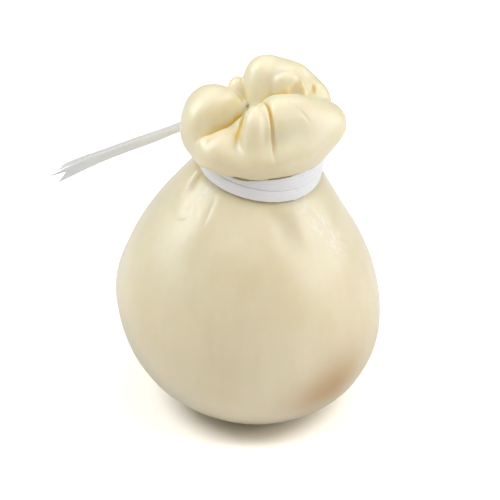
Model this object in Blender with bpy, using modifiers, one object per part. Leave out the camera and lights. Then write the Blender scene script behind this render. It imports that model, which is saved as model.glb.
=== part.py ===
"""A caciocavallo cheese: a pear-shaped body, a narrow neck and a folded head above it.

A flat white ribbon goes twice round the neck and is knotted behind it, and its two
ends stick out to the side. Metres, +Z up. The origin is the middle of the small flat
spot that the cheese stands on, and the shown front looks towards -Y.
"""
import math
from collections import namedtuple

import bmesh
import bpy
import numpy as np
from mathutils import Vector

# ---- the body, turned about an upright axis that drifts a little sideways ----
Station = namedtuple("Station", "height radius drift")
BODY = (
    Station(0.000, 0.0280, 0.0045),
    Station(0.003, 0.0351, 0.0045),
    Station(0.009, 0.0449, 0.0042),
    Station(0.020, 0.0580, 0.0034),
    Station(0.038, 0.0700, 0.0023),
    Station(0.060, 0.0756, 0.0002),
    Station(0.082, 0.0748, -0.0021),
    Station(0.105, 0.0663, -0.0022),
    Station(0.125, 0.0549, -0.0018),
    Station(0.142, 0.0441, 0.0005),
    Station(0.156, 0.0366, 0.0045),
    Station(0.172, 0.0330, 0.0070),
)
FLAT_SPOT_ROUNDING = 0.002
BODY_TOP_ROUNDING = 0.008
STEEPEST_TAPER = 3.0
SMALL_STEP = 0.001

# ---- the neck, pulled in by the ribbon and leaning to the right and to the front ----
RING_CENTRE = np.array((0.0062, 0.0, 0.1600))
LEAN_RIGHT = np.tan(np.radians(9.0))
LEAN_FRONT = np.tan(np.radians(6.0))
NECK_RADIUS = 0.0330
NECK_HALF_HEIGHT = 0.0080
NECK_CORE = (-0.012, 0.014)
SLOT_RADIUS = 0.0352
SLOT_ROUNDING = 0.0010
SHOULDER_STEEPNESS = 1.15
SHOULDER_RADIUS = 0.0350
SHOULDER_ROUNDING = 0.0030

# ---- the ribbon: two turns side by side, a knot behind the neck and two free ends ----
RIBBON_THICKNESS = 0.0009
RIBBON_CLEARANCE = 0.0003
LOWER_TURN = (-0.0072, -0.0002)
UPPER_TURN = (0.00015, 0.0070)
TURN_STEPS = 72
KNOT_ANGLE = 125.0
KNOT_SIZE = (0.0034, 0.0050, 0.0040)
TAIL_WIDTH = 0.0070
TAIL_THICKNESS = 0.0006
TAIL_NOTCH = 0.0105
TAIL_ROWS = 26

# Each free end's route, from the knot to its tip, and its roll away from standing on
# edge, in degrees, at the knot and at the tip.
Tail = namedtuple("Tail", "route roll_at_knot roll_at_tip")
TAILS = {
    "tie_tail_front": Tail((
        (-0.0215, 0.0275, 0.1655),
        (-0.0290, 0.0285, 0.1640),
        (-0.0388, 0.0275, 0.1613),
        (-0.0516, 0.0200, 0.1600),
        (-0.0726, 0.0120, 0.1562),
        (-0.0865, 0.0060, 0.1532),
        (-0.1003, 0.0010, 0.1487),
        (-0.1108, -0.0025, 0.1445),
    ), 22.0, 8.0),
    "tie_tail_back": Tail((
        (-0.0205, 0.0330, 0.1665),
        (-0.0290, 0.0335, 0.1650),
        (-0.0388, 0.0320, 0.1625),
        (-0.0516, 0.0240, 0.1612),
        (-0.0726, 0.0155, 0.1580),
        (-0.0865, 0.0095, 0.1555),
        (-0.1000, 0.0050, 0.1520),
        (-0.1105, 0.0015, 0.1478),
    ), 22.0, 50.0),
}

# ---- the head: a round bun with fat lobes folded in towards a pit ----
PIT = np.array((-0.0015, -0.0010))
BUN_CENTRE = (0.0048, -0.0110, 0.1785)
BUN_SIZE = (0.0393, 0.0330, 0.0245)
BUN_TOP = 0.186
BUN_TOP_SLOPE = np.array((-0.25, -0.20, 1.0))
BUN_TOP_ROUNDING = 0.014
BACK_BUN_CENTRE = (0.0040, 0.0110, 0.1775)
BACK_BUN_SIZE = (0.0365, 0.0290, 0.0110)
BUN_TO_BUN = 0.010

Lobe = namedtuple("Lobe", "centre size lean")
LOBE_GROUPS = {
    "left ball": (0.008, (
        Lobe((-0.0197, -0.001, 0.1842), (0.0170, 0.0175, 0.0176), 0),
        Lobe((-0.0220, -0.008, 0.1800), (0.0130, 0.0125, 0.0130), 0),
        Lobe((-0.0240, -0.004, 0.1745), (0.0112, 0.0130, 0.0120), 0),
    )),
    "front left fold": (0.008, (
        Lobe((-0.0135, -0.0235, 0.1722), (0.0140, 0.0120, 0.0133), -24),
    )),
    "front nose": (0.008, (
        Lobe((0.0029, -0.024, 0.1763), (0.0098, 0.0130, 0.0243), 0),
    )),
    "front right roll": (0.010, (
        Lobe((0.0079, -0.0190, 0.1805), (0.0080, 0.0115, 0.0172), 0),
        Lobe((0.0140, -0.018, 0.1808), (0.0110, 0.0150, 0.0215), 0),
        Lobe((0.0256, -0.015, 0.1818), (0.0140, 0.0140, 0.0200), 0),
        Lobe((0.0380, -0.009, 0.1833), (0.0140, 0.0150, 0.0125), 0),
    )),
    "back roll": (0.007, (
        Lobe((0.0090, 0.013, 0.1989), (0.0130, 0.0120, 0.0142), 0),
        Lobe((0.0055, 0.0060, 0.1895), (0.0085, 0.0080, 0.0115), 0),
        Lobe((0.0197, 0.017, 0.1905), (0.0175, 0.0100, 0.0180), 0),
        Lobe((0.0319, 0.017, 0.1841), (0.0125, 0.0100, 0.0130), 0),
        Lobe((0.0362, 0.008, 0.1880), (0.0078, 0.0070, 0.0098), 0),
    )),
    "inner flap": (0.004, (
        Lobe((0.0200, 0.003, 0.1950), (0.0105, 0.0060, 0.0130), 0),
    )),
    "back left curl": (0.004, (
        Lobe((-0.0071, 0.011, 0.1918), (0.0060, 0.0070, 0.0100), 0),
    )),
}
LOBE_TO_LOBE = 0.002
LOBE_TO_BUN = 0.007
RIM_FILL = 0.008
RIM_FROM = 0.0230
RIM_TO = 0.0310

# Two hollows: one under the inner flap, one where the front's folds meet the left ball.
FLAP_POCKET = Lobe((0.0268, -0.0025, 0.1985), (0.0050, 0.0060, 0.0080), 34)
CORNER_POCKET = Lobe((-0.0092, -0.0135, 0.1880), (0.0048, 0.0050, 0.0070), 0)
POCKET_LIP = 0.002

# The left ball stops at an upright plane through the pit; below the fade it bulges past it.
VALLEY_AZIMUTH = np.radians(-143.0)
VALLEY_NORMAL = np.array((-np.sin(VALLEY_AZIMUTH), np.cos(VALLEY_AZIMUTH)))
VALLEY_REACH = 0.0005
VALLEY_ROUNDING = 0.006
VALLEY_FADE = (0.174, 0.184)
VALLEY_BULGE = 0.012

# The head's underside: a level floor that droops at the left, with a lip at its rim.
HEAD_TO_NECK = 0.003
HEAD_FLOOR = 0.0092
HEAD_FLOOR_ROUNDING = 0.004
LIP = 0.0035
LIP_FROM = 0.0360
LIP_TO = 0.0390
DROOP = 0.011
DROOP_FROM = 0.022
DROOP_TO = 0.040

# A crease runs out from the pit and turns from its near azimuth to its far one (0 is +X,
# -90 the front). It is whole above its upper height, gone below its lower one.
Crease = namedtuple("Crease", "near far depth width upper lower start")
CREASES = (
    Crease(-133, -145, 0.006, 0.0008, 0.188, 0.176, -0.002),
    Crease(-104, -99, 0.005, 0.0009, 0.190, 0.178, -0.002),
    Crease(-58, -69, 0.004, 0.0006, 0.190, 0.172, 0.006),
    Crease(58, 50, 0.005, 0.0018, 0.196, 0.172, 0.022),
    Crease(84, 88, 0.005, 0.0020, 0.196, 0.172, 0.022),
    Crease(140, 150, 0.005, 0.0020, 0.190, 0.172, 0.014),
)
CREASE_NEAR = 0.012
CREASE_FAR = 0.040
CREASE_START_LENGTH = 0.010
CREASE_BOTTOM = 0.0003

# ---- the fan of rays that carries a ball's points out to the skin ----
# At each listed row of the ball: the axis point (x, y, z) that the rays start from,
# how far out from it they start, their elevation, and how much they lean with the
# neck. Past 90 degrees a ray points back to the pit, down a lobe's inner wall.
Ray = namedtuple("Ray", "row x y z out elevation lean")
FAN = (
    Ray(0, 0.0045, 0.000, 0.040, 0.000, -90, 0.0),
    Ray(3, 0.0045, 0.000, 0.040, 0.004, -60, 0.0),
    Ray(5, 0.0045, 0.000, 0.040, 0.006, -48, 0.0),
    Ray(9, 0.0034, 0.000, 0.045, 0.010, -25, 0.0),
    Ray(14, 0.0002, 0.000, 0.060, 0.010, 0, 0.0),
    Ray(19, -0.0020, 0.000, 0.095, 0.010, 0, 0.0),
    Ray(24, -0.0010, 0.001, 0.135, 0.010, 0, 0.4),
    Ray(26, 0.0042, 0.001, 0.147, 0.010, 0, 1.0),
    Ray(27, 0.0048, 0.001, 0.1508, 0.010, 0, 1.0),
    Ray(28, 0.0050, 0.001, 0.1525, 0.010, 0, 1.0),
    Ray(29, 0.0060, 0.000, 0.1580, 0.010, 0, 1.0),
    Ray(30, 0.0075, -0.001, 0.1680, 0.010, -10, 1.0),
    Ray(31, 0.0085, -0.001, 0.1765, 0.010, -22, 1.0),
    Ray(32, 0.0091, -0.002, 0.1790, 0.0308, -76, 1.0),
    Ray(33, 0.0091, -0.002, 0.1790, 0.0320, -68, 1.0),
    Ray(34, 0.0088, -0.002, 0.1790, 0.0305, -52, 1.0),
    Ray(36, 0.0030, -0.001, 0.1800, 0.024, -25, 0.5),
    Ray(39, -0.0015, -0.001, 0.1790, 0.020, 8, 0.0),
    Ray(45, -0.0015, -0.001, 0.1760, 0.021, 75, 0.0),
    Ray(51, -0.0015, -0.001, 0.1760, 0.020, 122, 0.0),
    Ray(55, -0.0015, -0.001, 0.1690, 0.009, 112, 0.0),
    Ray(58, -0.0015, -0.001, 0.1600, 0.000, 90, 0.0),
)
LIFT = 0.006
LIFT_AZIMUTH = 45.0
LIFT_ROWS = (36, 44, 51, 58)
FRONT_CROWDING = 0.40
BALL_COLUMNS = 96
BALL_ROWS = FAN[-1].row
MARCH_STEPS = 140
MARCH_REACH = 0.070
HALVINGS = 14
LEVEL_WITHIN = 0.00001

COLLECTION_NAME = "Caciocavallo"


def smooth_line(x, knots, values):
    """Cubic pieces through the knots, each knot's slope taken from its neighbours."""
    knots = np.asarray(knots, float)
    values = np.asarray(values, float)
    slopes = np.gradient(values, knots)
    x = np.clip(x, knots[0], knots[-1])
    i = np.clip(np.searchsorted(knots, x) - 1, 0, len(knots) - 2)
    width = knots[i + 1] - knots[i]
    u = (x - knots[i]) / width
    start = (1 + 2 * u) * (1 - u) ** 2 * values[i] + u * (1 - u) ** 2 * width * slopes[i]
    end = u * u * (3 - 2 * u) * values[i + 1] - u * u * (1 - u) * width * slopes[i + 1]
    return start + end


def soft_step(x, low, high):
    """0 below low, 1 above high, and a smooth rise between."""
    t = np.clip((x - low) / (high - low), 0.0, 1.0)
    return t * t * (3 - 2 * t)


def window(x, ends):
    """0 outside the first and last end, 1 between the middle two, smooth between."""
    return soft_step(x, ends[0], ends[1]) * soft_step(-x, -ends[3], -ends[2])


def soft_min(a, b, rounding):
    """The union of two distance fields, its seam filled to a round of this size."""
    overlap = np.maximum(rounding - np.abs(a - b), 0.0) / rounding
    return np.minimum(a, b) - overlap * overlap * rounding * 0.25


def soft_max(a, b, rounding):
    """The common part of two distance fields, its edge rounded to this size."""
    return -soft_min(-a, -b, rounding)


def lobe_distance(points, lobe):
    """Roughly the distance to an ellipsoid that leans about the Y axis."""
    offset = points - np.array(lobe.centre)
    lean = np.radians(lobe.lean)
    across = offset[..., 0] * np.cos(lean) - offset[..., 2] * np.sin(lean)
    along = offset[..., 0] * np.sin(lean) + offset[..., 2] * np.cos(lean)
    local = np.stack((across, offset[..., 1], along), axis=-1)
    size = np.array(lobe.size)
    near = np.sqrt(((local / size) ** 2).sum(axis=-1))
    slope = np.sqrt(((local / size ** 2) ** 2).sum(axis=-1)) + 1e-9
    return near * (near - 1.0) / slope


def body_distance(points):
    """Distance to the turned body, cut level at the flat spot and above the neck."""
    heights, radii, drifts = zip(*BODY)
    z = np.clip(points[..., 2], heights[0], heights[-1])
    radius = smooth_line(z, heights, radii)
    drift = smooth_line(z, heights, drifts)
    widening = smooth_line(z + SMALL_STEP, heights, radii) - smooth_line(z - SMALL_STEP, heights, radii)
    taper = np.minimum(np.abs(widening) / (2 * SMALL_STEP), STEEPEST_TAPER)
    side = np.hypot(points[..., 0] - drift, points[..., 1]) - radius
    side = soft_max(side / np.hypot(taper, 1.0), -points[..., 2], FLAT_SPOT_ROUNDING)
    return soft_max(side, points[..., 2] - heights[-1], BODY_TOP_ROUNDING)


def ring_coordinates(points):
    """Distance from the leaning neck's axis, and height along it from the ribbon's middle."""
    axis = np.array((LEAN_RIGHT, -LEAN_FRONT, 1.0))
    axis = axis / np.linalg.norm(axis)
    offset = points - RING_CENTRE
    height = offset @ axis
    radius = np.sqrt(np.maximum((offset ** 2).sum(axis=-1) - height ** 2, 0.0))
    return radius, height


def crease_depth(points):
    """How far all the creases together push the head's skin in."""
    offset = points[..., :2] - PIT
    total = np.zeros(points.shape[:-1])
    away = np.hypot(offset[..., 0], offset[..., 1])
    turn = np.clip((away - CREASE_NEAR) / (CREASE_FAR - CREASE_NEAR), 0.0, 1.0)
    for crease in CREASES:
        azimuth = np.radians(crease.near + (crease.far - crease.near) * turn)
        along = offset[..., 0] * np.cos(azimuth) + offset[..., 1] * np.sin(azimuth)
        aside = offset[..., 1] * np.cos(azimuth) - offset[..., 0] * np.sin(azimuth)
        fade = soft_step(points[..., 2], crease.lower, crease.upper)
        fade = fade * soft_step(along, crease.start, crease.start + CREASE_START_LENGTH)
        total += crease.depth * fade * np.exp(-np.hypot(aside, CREASE_BOTTOM) / crease.width)
    return total


def head_distance(points):
    """Distance to the folded head: the bun, the lobes, the pocket and the creases."""
    upward = BUN_TOP_SLOPE / np.linalg.norm(BUN_TOP_SLOPE)
    top = (points - np.array((0.0, 0.0, BUN_TOP))) @ upward
    bun = soft_max(lobe_distance(points, Lobe(BUN_CENTRE, BUN_SIZE, 0)), top, BUN_TOP_ROUNDING)
    back_bun = lobe_distance(points, Lobe(BACK_BUN_CENTRE, BACK_BUN_SIZE, 0))
    bun = soft_min(bun, back_bun, BUN_TO_BUN)
    lobes = None
    seam = LOBE_TO_LOBE + RIM_FILL * soft_step(BUN_CENTRE[0] - points[..., 0], RIM_FROM, RIM_TO)
    for name, (rounding, members) in LOBE_GROUPS.items():
        group = lobe_distance(points, members[0])
        for member in members[1:]:
            group = soft_min(group, lobe_distance(points, member), rounding)
        if name == "inner flap":
            group = soft_max(group, -lobe_distance(points, FLAP_POCKET), POCKET_LIP)
        if name == "left ball":
            bulge = VALLEY_BULGE * (1.0 - soft_step(points[..., 2], *VALLEY_FADE))
            beyond = (points[..., :2] - PIT) @ VALLEY_NORMAL - VALLEY_REACH - bulge
            group = soft_max(group, beyond, VALLEY_ROUNDING)
        lobes = group if lobes is None else soft_min(lobes, group, seam)
    lobes = soft_max(lobes, -lobe_distance(points, CORNER_POCKET), POCKET_LIP)
    return soft_min(bun, lobes, LOBE_TO_BUN) + crease_depth(points)


def skin_distance(points):
    """Roughly the distance to the cheese's skin, negative inside."""
    radius, height = ring_coordinates(points)
    left = soft_step(RING_CENTRE[0] - points[..., 0], DROOP_FROM, DROOP_TO)
    floor = HEAD_FLOOR - DROOP * left - LIP * soft_step(radius, LIP_FROM, LIP_TO)
    head = soft_max(head_distance(points), floor - height, HEAD_FLOOR_ROUNDING)
    neck = np.maximum(radius - NECK_RADIUS, np.maximum(NECK_CORE[0] - height, height - NECK_CORE[1]))
    cheese = soft_min(np.minimum(body_distance(points), neck), head, HEAD_TO_NECK)
    slot = soft_max(NECK_RADIUS - radius, np.abs(height) - NECK_HALF_HEIGHT, SLOT_ROUNDING)
    slot = np.where(height > 0.0, soft_max(slot, radius - SLOT_RADIUS, SLOT_ROUNDING), slot)
    cheese = soft_max(cheese, -slot, SLOT_ROUNDING)
    below = np.minimum(height + NECK_HALF_HEIGHT, 0.0)
    shoulder = (radius - SHOULDER_RADIUS + below * SHOULDER_STEEPNESS) / np.hypot(SHOULDER_STEEPNESS, 1.0)
    return np.where(height < 0.0, soft_max(cheese, shoulder, SHOULDER_ROUNDING), cheese)


def fan_rays(azimuth, row):
    """The start and direction of the ray for each azimuth (radians) and row."""
    rows, *columns = zip(*FAN)
    x, y, z, out, elevation, lean = (np.interp(row, rows, values) for values in columns)
    elevation = np.radians(elevation)
    back = (0.5 + 0.5 * np.cos(azimuth - np.radians(LIFT_AZIMUTH))) ** 2
    lift = LIFT * back * window(row, LIFT_ROWS)
    right = lean * LEAN_RIGHT
    front = -lean * LEAN_FRONT
    level = np.stack((np.cos(azimuth), np.sin(azimuth),
                      -np.cos(azimuth) * right - np.sin(azimuth) * front), axis=-1)
    upright = np.stack((right, front, np.ones_like(right)), axis=-1)
    start = np.stack((x, y, z), axis=-1) + level * out[..., None] + upright * lift[..., None]
    direction = level * np.cos(elevation)[..., None] + upright * np.sin(elevation)[..., None]
    return start, direction / np.linalg.norm(direction, axis=-1, keepdims=True)


def skin_points(azimuth, row):
    """Where each ray first leaves the cheese: even steps outward, then halvings."""
    start, direction = fan_rays(azimuth, row)
    inside = np.zeros(row.shape)
    outside = np.full(row.shape, np.nan)
    for reach in np.linspace(0.0, MARCH_REACH, MARCH_STEPS + 1)[1:]:
        out = skin_distance(start + direction * reach) > 0.0
        searching = np.isnan(outside)
        outside = np.where(searching & out, reach, outside)
        inside = np.where(searching & ~out, reach, inside)
    outside = np.where(np.isnan(outside), inside, outside)
    for _ in range(HALVINGS):
        middle = 0.5 * (inside + outside)
        out = skin_distance(start + direction * middle[..., None]) > 0.0
        outside = np.where(out, middle, outside)
        inside = np.where(out, inside, middle)
    points = start + direction * (0.5 * (inside + outside))[..., None]
    points[..., 2] = np.where(np.abs(points[..., 2]) < LEVEL_WITHIN, 0.0, points[..., 2])
    return points


def make_material(name, colour, roughness, metallic=0.0):
    """A plain surface of one colour."""
    material = bpy.data.materials.new(name)
    material.use_nodes = True
    shader = material.node_tree.nodes["Principled BSDF"]
    shader.inputs["Base Color"].default_value = (*colour, 1.0)
    shader.inputs["Roughness"].default_value = roughness
    shader.inputs["Metallic"].default_value = metallic
    return material


def add_object(name, mesh, material, collection):
    """A named, smoothly shaded object of one mesh and one material."""
    piece = bpy.data.objects.new(name, mesh)
    mesh.materials.append(material)
    mesh.shade_smooth()
    collection.objects.link(piece)
    return piece


def make_cheese(collection):
    """The whole cheese: a ball whose points are carried out to the skin."""
    ball = bmesh.new()
    bmesh.ops.create_uvsphere(ball, u_segments=BALL_COLUMNS, v_segments=BALL_ROWS, radius=1.0)
    places = np.array([vertex.co for vertex in ball.verts])
    azimuth = np.arctan2(places[:, 1], places[:, 0])
    azimuth = azimuth - FRONT_CROWDING * np.cos(azimuth)
    row = BALL_ROWS * (0.5 + np.arcsin(np.clip(places[:, 2], -1.0, 1.0)) / np.pi)
    for vertex, place in zip(ball.verts, skin_points(azimuth, row)):
        vertex.co = place
    bmesh.ops.triangulate(ball, faces=ball.faces[:])
    mesh = bpy.data.meshes.new("cheese")
    ball.to_mesh(mesh)
    ball.free()
    material = make_material("cheese_skin", (0.80, 0.68, 0.40), 0.35)
    return add_object("cheese", mesh, material, collection)


def ring_direction():
    """The neck's axis as a unit vector."""
    return Vector((LEAN_RIGHT, -LEAN_FRONT, 1.0)).normalized()


def make_turn(name, span, material, collection):
    """One flat turn of ribbon: a standing rectangle screwed once round the neck."""
    inner = NECK_RADIUS + RIBBON_CLEARANCE
    outer = inner + RIBBON_THICKNESS
    low, high = span
    corners = ((outer, 0.0, high), (outer, 0.0, low), (inner, 0.0, low), (inner, 0.0, high))
    mesh = bpy.data.meshes.new(name)
    mesh.from_pydata(corners, ((0, 1), (1, 2), (2, 3), (3, 0)), ())
    turn = add_object(name, mesh, material, collection)
    turn.location = RING_CENTRE
    turn.rotation_mode = "QUATERNION"
    turn.rotation_quaternion = Vector((0.0, 0.0, 1.0)).rotation_difference(ring_direction())
    screw = turn.modifiers.new("round_the_neck", "SCREW")
    screw.angle = math.tau
    screw.steps = TURN_STEPS
    screw.render_steps = TURN_STEPS
    screw.use_merge_vertices = True
    screw.merge_threshold = 0.0001
    return turn


def make_knot(material, collection):
    """The small flattened knot, just clear of the two turns."""
    knot_mesh = bmesh.new()
    bmesh.ops.create_uvsphere(knot_mesh, u_segments=16, v_segments=10, radius=1.0)
    bmesh.ops.scale(knot_mesh, vec=KNOT_SIZE, verts=knot_mesh.verts)
    mesh = bpy.data.meshes.new("tie_knot")
    knot_mesh.to_mesh(mesh)
    knot_mesh.free()
    knot = add_object("tie_knot", mesh, material, collection)
    angle = math.radians(KNOT_ANGLE)
    reach = NECK_RADIUS + 2 * RIBBON_CLEARANCE + RIBBON_THICKNESS + KNOT_SIZE[0]
    across = reach * math.cos(angle)
    deep = reach * math.sin(angle)
    rise = -across * LEAN_RIGHT + deep * LEAN_FRONT
    knot.location = Vector(RING_CENTRE) + Vector((across, deep, rise))
    knot.rotation_euler = (0.0, 0.0, angle)
    return knot


def route_point(route, knots, reach):
    """The place at this reach along a smooth route."""
    return np.stack([smooth_line(reach, knots, route[:, axis]) for axis in range(3)], axis=-1)


def tail_points(tail, along, across):
    """Points of a flat strip: a smooth route, plus a share of its half width along its roll."""
    route = np.array(tail.route)
    steps = np.linalg.norm(np.diff(route, axis=0), axis=1)
    knots = np.concatenate(([0.0], np.cumsum(steps)))
    reach = along * (knots[-1] - TAIL_NOTCH * (1.0 - np.abs(across)))
    centre = route_point(route, knots, reach)
    before = np.clip(reach - SMALL_STEP, 0.0, knots[-1] - 2 * SMALL_STEP)
    after = before + 2 * SMALL_STEP
    tangent = route_point(route, knots, after) - route_point(route, knots, before)
    tangent = tangent / np.linalg.norm(tangent, axis=-1, keepdims=True)
    upright = np.array((0.0, 0.0, 1.0)) - tangent * tangent[..., 2:3]
    upright = upright / np.linalg.norm(upright, axis=-1, keepdims=True)
    level = np.cross(upright, tangent)
    share = reach / knots[-1]
    roll = tail.roll_at_knot + (tail.roll_at_tip - tail.roll_at_knot) * share
    roll = np.radians(roll)[..., None]
    width = upright * np.cos(roll) + level * np.sin(roll)
    return centre + width * (across * TAIL_WIDTH / 2)[..., None]


def make_tail(name, tail, material, collection):
    """A free end: a bent grid with a swallow-tail cut, given its thickness."""
    strip = bmesh.new()
    bmesh.ops.create_grid(strip, x_segments=TAIL_ROWS, y_segments=2, size=1.0)
    places = np.array([vertex.co for vertex in strip.verts])
    for vertex, place in zip(strip.verts, tail_points(tail, 0.5 + 0.5 * places[:, 0], places[:, 1])):
        vertex.co = place
    mesh = bpy.data.meshes.new(name)
    strip.to_mesh(mesh)
    strip.free()
    piece = add_object(name, mesh, material, collection)
    solidify = piece.modifiers.new("thickness", "SOLIDIFY")
    solidify.thickness = TAIL_THICKNESS
    solidify.offset = 0.0
    return piece


def main():
    """Builds the whole object in an emptied scene."""
    for existing in list(bpy.data.objects):
        bpy.data.objects.remove(existing)
    collection = bpy.data.collections.new(COLLECTION_NAME)
    bpy.context.scene.collection.children.link(collection)
    make_cheese(collection)
    ribbon = make_material("ribbon_white", (0.86, 0.89, 0.91), 0.35)
    make_turn("tie_turn_lower", LOWER_TURN, ribbon, collection)
    make_turn("tie_turn_upper", UPPER_TURN, ribbon, collection)
    make_knot(ribbon, collection)
    for name, tail in TAILS.items():
        make_tail(name, tail, ribbon, collection)


main()
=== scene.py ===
"""A caciocavallo cheese in its finished surfaces, on a plain pale floor in soft light.

The cheese's skin, the two turns of ribbon, the knot and the two free ends are each
worked out with numpy on a grid of two parameters. Metres, +Z up, the front towards -Y.
"""
import math
from collections import namedtuple

import bpy
import numpy as np
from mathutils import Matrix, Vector


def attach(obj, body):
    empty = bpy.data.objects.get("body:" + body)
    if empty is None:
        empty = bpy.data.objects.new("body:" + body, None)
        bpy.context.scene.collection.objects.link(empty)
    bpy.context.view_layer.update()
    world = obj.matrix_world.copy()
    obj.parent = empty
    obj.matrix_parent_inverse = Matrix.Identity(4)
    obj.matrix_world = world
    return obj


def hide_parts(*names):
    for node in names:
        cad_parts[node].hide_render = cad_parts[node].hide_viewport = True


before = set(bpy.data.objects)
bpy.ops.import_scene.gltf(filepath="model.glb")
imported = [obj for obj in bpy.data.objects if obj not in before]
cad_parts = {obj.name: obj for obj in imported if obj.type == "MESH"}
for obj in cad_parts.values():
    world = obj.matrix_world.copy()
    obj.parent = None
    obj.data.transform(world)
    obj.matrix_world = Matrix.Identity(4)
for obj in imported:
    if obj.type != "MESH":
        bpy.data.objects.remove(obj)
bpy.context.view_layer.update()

BODY = "root"
UP = np.array((0.0, 0.0, 1.0))

# ---- the camera: it looks down at the front, from the photograph's angle ----
CAMERA_TARGET = Vector((0.0, 0.0, 0.09885))
CAMERA_DISTANCE = 0.9
CAMERA_DOWN = math.radians(31.0)
CAMERA_SENSOR = 36.0
CAMERA_LENS = 114.08

# ---- the body, turned about an upright axis that drifts a little sideways ----
Station = namedtuple("Station", "height radius drift")
BODY_STATIONS = (
    Station(0.000, 0.0280, 0.0045),
    Station(0.003, 0.0351, 0.0045),
    Station(0.009, 0.0449, 0.0042),
    Station(0.020, 0.0580, 0.0034),
    Station(0.038, 0.0700, 0.0023),
    Station(0.060, 0.0756, 0.0002),
    Station(0.082, 0.0748, -0.0021),
    Station(0.105, 0.0663, -0.0022),
    Station(0.125, 0.0549, -0.0018),
    Station(0.142, 0.0441, 0.0005),
    Station(0.156, 0.0366, 0.0045),
    Station(0.172, 0.0330, 0.0070),
)
FLAT_SPOT_ROUNDING = 0.002
BODY_TOP_ROUNDING = 0.008
STEEPEST_TAPER = 3.0
SMALL_STEP = 0.001
# what keeps a division by a length from failing
TINY = 1e-12

# ---- the neck, pulled in by the ribbon and leaning to the right and to the front ----
RING_CENTRE = np.array((0.0062, 0.0, 0.1600))
LEAN_RIGHT = np.tan(np.radians(9.0))
LEAN_FRONT = np.tan(np.radians(6.0))
NECK_AXIS = np.array((LEAN_RIGHT, -LEAN_FRONT, 1.0))
NECK_RADIUS = 0.0330
NECK_HALF_HEIGHT = 0.0080
NECK_CORE = (-0.012, 0.014)
SLOT_RADIUS = 0.0352
SLOT_ROUNDING = 0.0010
SHOULDER_STEEPNESS = 1.15
SHOULDER_RADIUS = 0.0350
SHOULDER_ROUNDING = 0.0030

# ---- the head: a round bun with fat lobes folded in towards a pit ----
PIT = np.array((-0.0015, -0.0010))
BUN_CENTRE = (0.0048, -0.0110, 0.1785)
BUN_SIZE = (0.0393, 0.0330, 0.0245)
BUN_TOP = 0.186
BUN_TOP_SLOPE = np.array((-0.25, -0.20, 1.0))
BUN_TOP_ROUNDING = 0.014
BACK_BUN_CENTRE = (0.0040, 0.0110, 0.1775)
BACK_BUN_SIZE = (0.0365, 0.0290, 0.0110)
BUN_TO_BUN = 0.010

Lobe = namedtuple("Lobe", "centre size lean")
LOBE_GROUPS = {
    "left ball": (0.008, (
        Lobe((-0.0197, -0.001, 0.1842), (0.0170, 0.0175, 0.0176), 0),
        Lobe((-0.0220, -0.008, 0.1800), (0.0130, 0.0125, 0.0130), 0),
        Lobe((-0.0240, -0.004, 0.1745), (0.0112, 0.0130, 0.0120), 0),
    )),
    "front left fold": (0.008, (
        Lobe((-0.0135, -0.0235, 0.1722), (0.0140, 0.0120, 0.0133), -24),
    )),
    "front nose": (0.008, (
        Lobe((0.0029, -0.024, 0.1763), (0.0098, 0.0130, 0.0243), 0),
    )),
    "front right roll": (0.010, (
        Lobe((0.0079, -0.0190, 0.1805), (0.0080, 0.0115, 0.0172), 0),
        Lobe((0.0140, -0.018, 0.1808), (0.0110, 0.0150, 0.0215), 0),
        Lobe((0.0256, -0.015, 0.1818), (0.0140, 0.0140, 0.0200), 0),
        Lobe((0.0380, -0.009, 0.1833), (0.0140, 0.0150, 0.0125), 0),
    )),
    "back roll": (0.007, (
        Lobe((0.0090, 0.013, 0.1989), (0.0130, 0.0120, 0.0142), 0),
        Lobe((0.0055, 0.0060, 0.1895), (0.0085, 0.0080, 0.0115), 0),
        Lobe((0.0197, 0.017, 0.1905), (0.0175, 0.0100, 0.0180), 0),
        Lobe((0.0319, 0.017, 0.1841), (0.0125, 0.0100, 0.0130), 0),
        Lobe((0.0362, 0.008, 0.1880), (0.0078, 0.0070, 0.0098), 0),
    )),
    "inner flap": (0.004, (
        Lobe((0.0200, 0.003, 0.1950), (0.0105, 0.0060, 0.0130), 0),
    )),
    "back left curl": (0.004, (
        Lobe((-0.0071, 0.011, 0.1918), (0.0060, 0.0070, 0.0100), 0),
    )),
}
LOBE_TO_LOBE = 0.002
LOBE_TO_BUN = 0.007
RIM_FILL = 0.008
RIM_FROM = 0.0230
RIM_TO = 0.0310

# Two hollows: one under the inner flap, one where the front's folds meet the left ball.
FLAP_POCKET = Lobe((0.0268, -0.0025, 0.1985), (0.0050, 0.0060, 0.0080), 34)
CORNER_POCKET = Lobe((-0.0092, -0.0135, 0.1880), (0.0048, 0.0050, 0.0070), 0)
POCKET_LIP = 0.002

# The left ball stops at an upright plane through the pit; below the fade it bulges past it.
VALLEY_AZIMUTH = np.radians(-143.0)
VALLEY_NORMAL = np.array((-np.sin(VALLEY_AZIMUTH), np.cos(VALLEY_AZIMUTH)))
VALLEY_REACH = 0.0005
VALLEY_ROUNDING = 0.006
VALLEY_FADE = (0.174, 0.184)
VALLEY_BULGE = 0.012

# The head's underside: a level floor that droops at the left, with a lip at its rim that
# hangs lower from the middle to the right.
HEAD_TO_NECK = 0.003
HEAD_FLOOR = 0.0092
HEAD_FLOOR_ROUNDING = 0.004
LIP = 0.0035
LIP_FROM = 0.0360
LIP_TO = 0.0390
CHIN = 0.0035
CHIN_FROM = -0.024
CHIN_TO = -0.010
DROOP = 0.011
DROOP_FROM = 0.027
DROOP_TO = 0.042

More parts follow.
